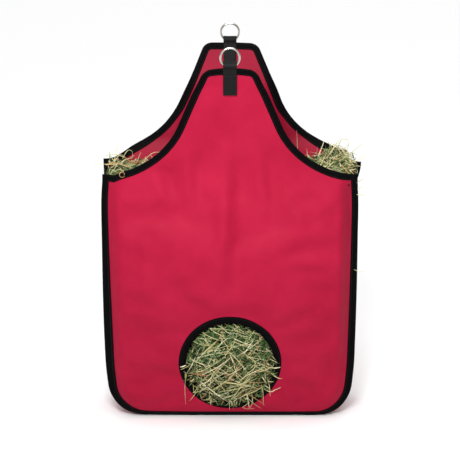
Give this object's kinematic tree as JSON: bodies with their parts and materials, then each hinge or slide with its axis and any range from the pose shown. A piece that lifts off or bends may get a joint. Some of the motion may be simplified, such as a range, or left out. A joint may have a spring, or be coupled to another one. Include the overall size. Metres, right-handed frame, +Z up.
{
  "type": "hay bag",
  "caption": "Soft gusseted cloth hay bag with bound seams, a round front feed hole, an open top between two tall necks, and a hanging ring sewn to each neck.",
  "frame": {"origin": "on the ground under the middle of the bag, midway between the two panels; the bag stands on the folded tape of its two lower seams", "axes": "+X to the bag's right as its front is looked at, +Y from the front panel to the rear panel, +Z up through the necks and rings"},
  "size_m": [0.488, 0.2506, 0.7497],
  "materials": {
    "bag_cloth": "satin",
    "binding_tape": "matte",
    "webbing": "matte",
    "thread": "satin",
    "hay": "matte",
    "nickel": "polished"
  },
  "bodies": {
    "bag": {"front_panel": "bag_cloth", "rear_panel": "bag_cloth", "gusset": "bag_cloth", "front_seam_binding": "binding_tape", "rear_seam_binding": "binding_tape", "left_mouth_binding": "binding_tape", "right_mouth_binding": "binding_tape", "feed_hole_binding": "binding_tape", "front_seam_stitching": "thread", "rear_seam_stitching": "thread", "left_mouth_stitching": "thread", "right_mouth_stitching": "thread", "feed_hole_stitching": "thread", "hay_load": "hay", "left_hay_tuft": "hay", "right_hay_tuft": "hay", "feed_hole_hay": "hay"},
    "front_neck": {"front_neck_panel": "bag_cloth", "front_neck_binding": "binding_tape", "front_neck_stitching": "thread", "front_ring_tab": "webbing", "front_tab_stitching": "thread"},
    "rear_neck": {"rear_neck_panel": "bag_cloth", "rear_neck_binding": "binding_tape", "rear_neck_stitching": "thread", "rear_ring_tab": "webbing", "rear_tab_stitching": "thread"},
    "front_hanging_ring": {"front_ring": "nickel"},
    "rear_hanging_ring": {"rear_ring": "nickel"}
  },
  "joints": [
    {"name": "front_neck_fold", "type": "hinge", "parent": "bag", "child": "front_neck", "pos_m": [0, -0.074, 0.508], "axis": [1, 0, 0], "range_deg": [-22, 43]},
    {"name": "rear_neck_fold", "type": "hinge", "parent": "bag", "child": "rear_neck", "pos_m": [0, 0.074, 0.508], "axis": [-1, 0, 0], "range_deg": [-22, 43]},
    {"name": "front_ring_swing", "type": "hinge", "parent": "front_neck", "child": "front_hanging_ring", "pos_m": [0, -0.1182, 0.71596], "axis": [1, 0, 0], "range_deg": [-110, 110]},
    {"name": "rear_ring_swing", "type": "hinge", "parent": "rear_neck", "child": "rear_hanging_ring", "pos_m": [0, 0.1182, 0.71596], "axis": [-1, 0, 0], "range_deg": [-110, 110]}
  ]
}
